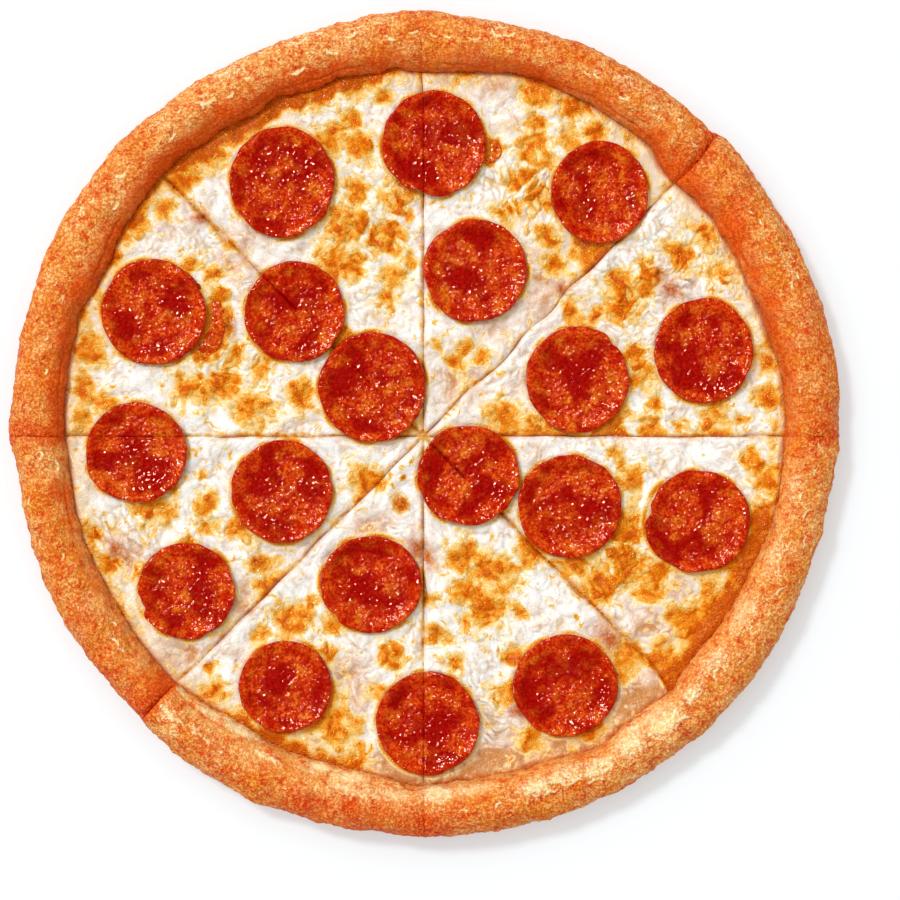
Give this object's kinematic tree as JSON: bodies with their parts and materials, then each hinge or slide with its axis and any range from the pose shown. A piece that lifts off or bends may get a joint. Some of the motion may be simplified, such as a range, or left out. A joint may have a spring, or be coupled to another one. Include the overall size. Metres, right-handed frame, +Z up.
{
  "type": "pepperoni pizza",
  "caption": "Round baked pizza with a raised crust, melted cheese and slices of pepperoni, cut into wedges that still lie together as a whole.",
  "frame": {"origin": "on the surface that the pizza lies on, under the middle of its outline", "axes": "+Z up out of the topping, +X and +Y level, with two of the cuts along X and two along Y"},
  "size_m": [0.3032, 0.3039, 0.0214],
  "materials": {
    "crust": "baked dough, dry and matt",
    "sauce": "baked tomato sauce, moist",
    "cheese": "melted cheese, oily",
    "pepperoni": "baked sausage, oily"
  },
  "bodies": {
    "root": {"dough_1": "crust", "dough_2": "crust", "dough_3": "crust", "dough_4": "crust", "dough_5": "crust", "dough_6": "crust", "dough_7": "crust", "dough_8": "crust", "sauce_1": "sauce", "sauce_2": "sauce", "sauce_3": "sauce", "sauce_4": "sauce", "sauce_5": "sauce", "sauce_6": "sauce", "sauce_7": "sauce", "sauce_8": "sauce", "cheese_1": "cheese", "cheese_2": "cheese", "cheese_3": "cheese", "cheese_4": "cheese", "cheese_5": "cheese", "cheese_6": "cheese", "cheese_7": "cheese", "cheese_8": "cheese", "pepperoni_01": "pepperoni", "pepperoni_02_left": "pepperoni", "pepperoni_02_right": "pepperoni", "pepperoni_02_under": "pepperoni", "pepperoni_03": "pepperoni", "pepperoni_04": "pepperoni", "pepperoni_05": "pepperoni", "pepperoni_05_under": "pepperoni", "pepperoni_06": "pepperoni", "pepperoni_07_lower": "pepperoni", "pepperoni_07_upper": "pepperoni", "pepperoni_08": "pepperoni", "pepperoni_09": "pepperoni", "pepperoni_10_lower": "pepperoni", "pepperoni_10_upper": "pepperoni", "pepperoni_11": "pepperoni", "pepperoni_12": "pepperoni", "pepperoni_13": "pepperoni", "pepperoni_14": "pepperoni", "pepperoni_15": "pepperoni", "pepperoni_16": "pepperoni", "pepperoni_17": "pepperoni", "pepperoni_18_left": "pepperoni", "pepperoni_18_right": "pepperoni", "pepperoni_19": "pepperoni"}
  },
  "joints": []
}
